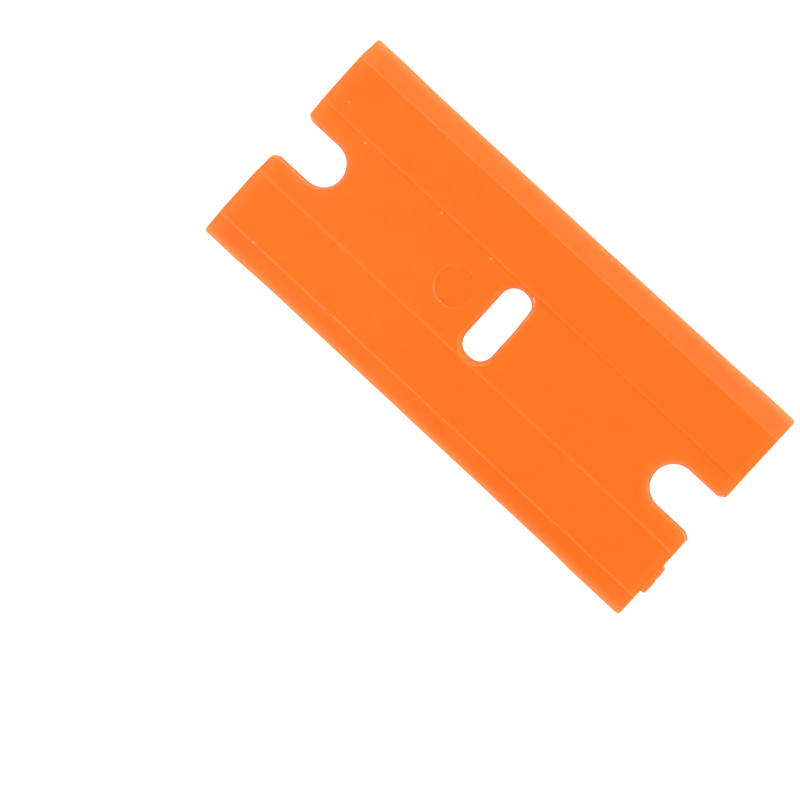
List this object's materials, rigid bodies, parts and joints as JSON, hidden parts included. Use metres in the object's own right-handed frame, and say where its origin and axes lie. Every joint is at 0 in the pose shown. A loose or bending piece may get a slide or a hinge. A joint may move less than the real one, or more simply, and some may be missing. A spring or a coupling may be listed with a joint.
{
  "type": "scraper blade",
  "caption": "Flat double-edged plastic razor-style blade with a central locating slot and end notches, for scraping algae off glass.",
  "frame": {"origin": "under the centre of the locating slot, on the plane that the lower lands rest on", "axes": "+X along the two cutting edges towards the end with the gate stub, +Y from one cutting edge to the other, +Z through the thickness towards the face with the ejector-pin mark"},
  "size_m": [0.0435, 0.0198, 0.0013],
  "materials": {
    "orange_plastic": "injection-moulded orange thermoplastic, satin, slightly translucent where it is thin"
  },
  "bodies": {
    "root": {"scraper_blade": "orange_plastic"}
  },
  "joints": []
}
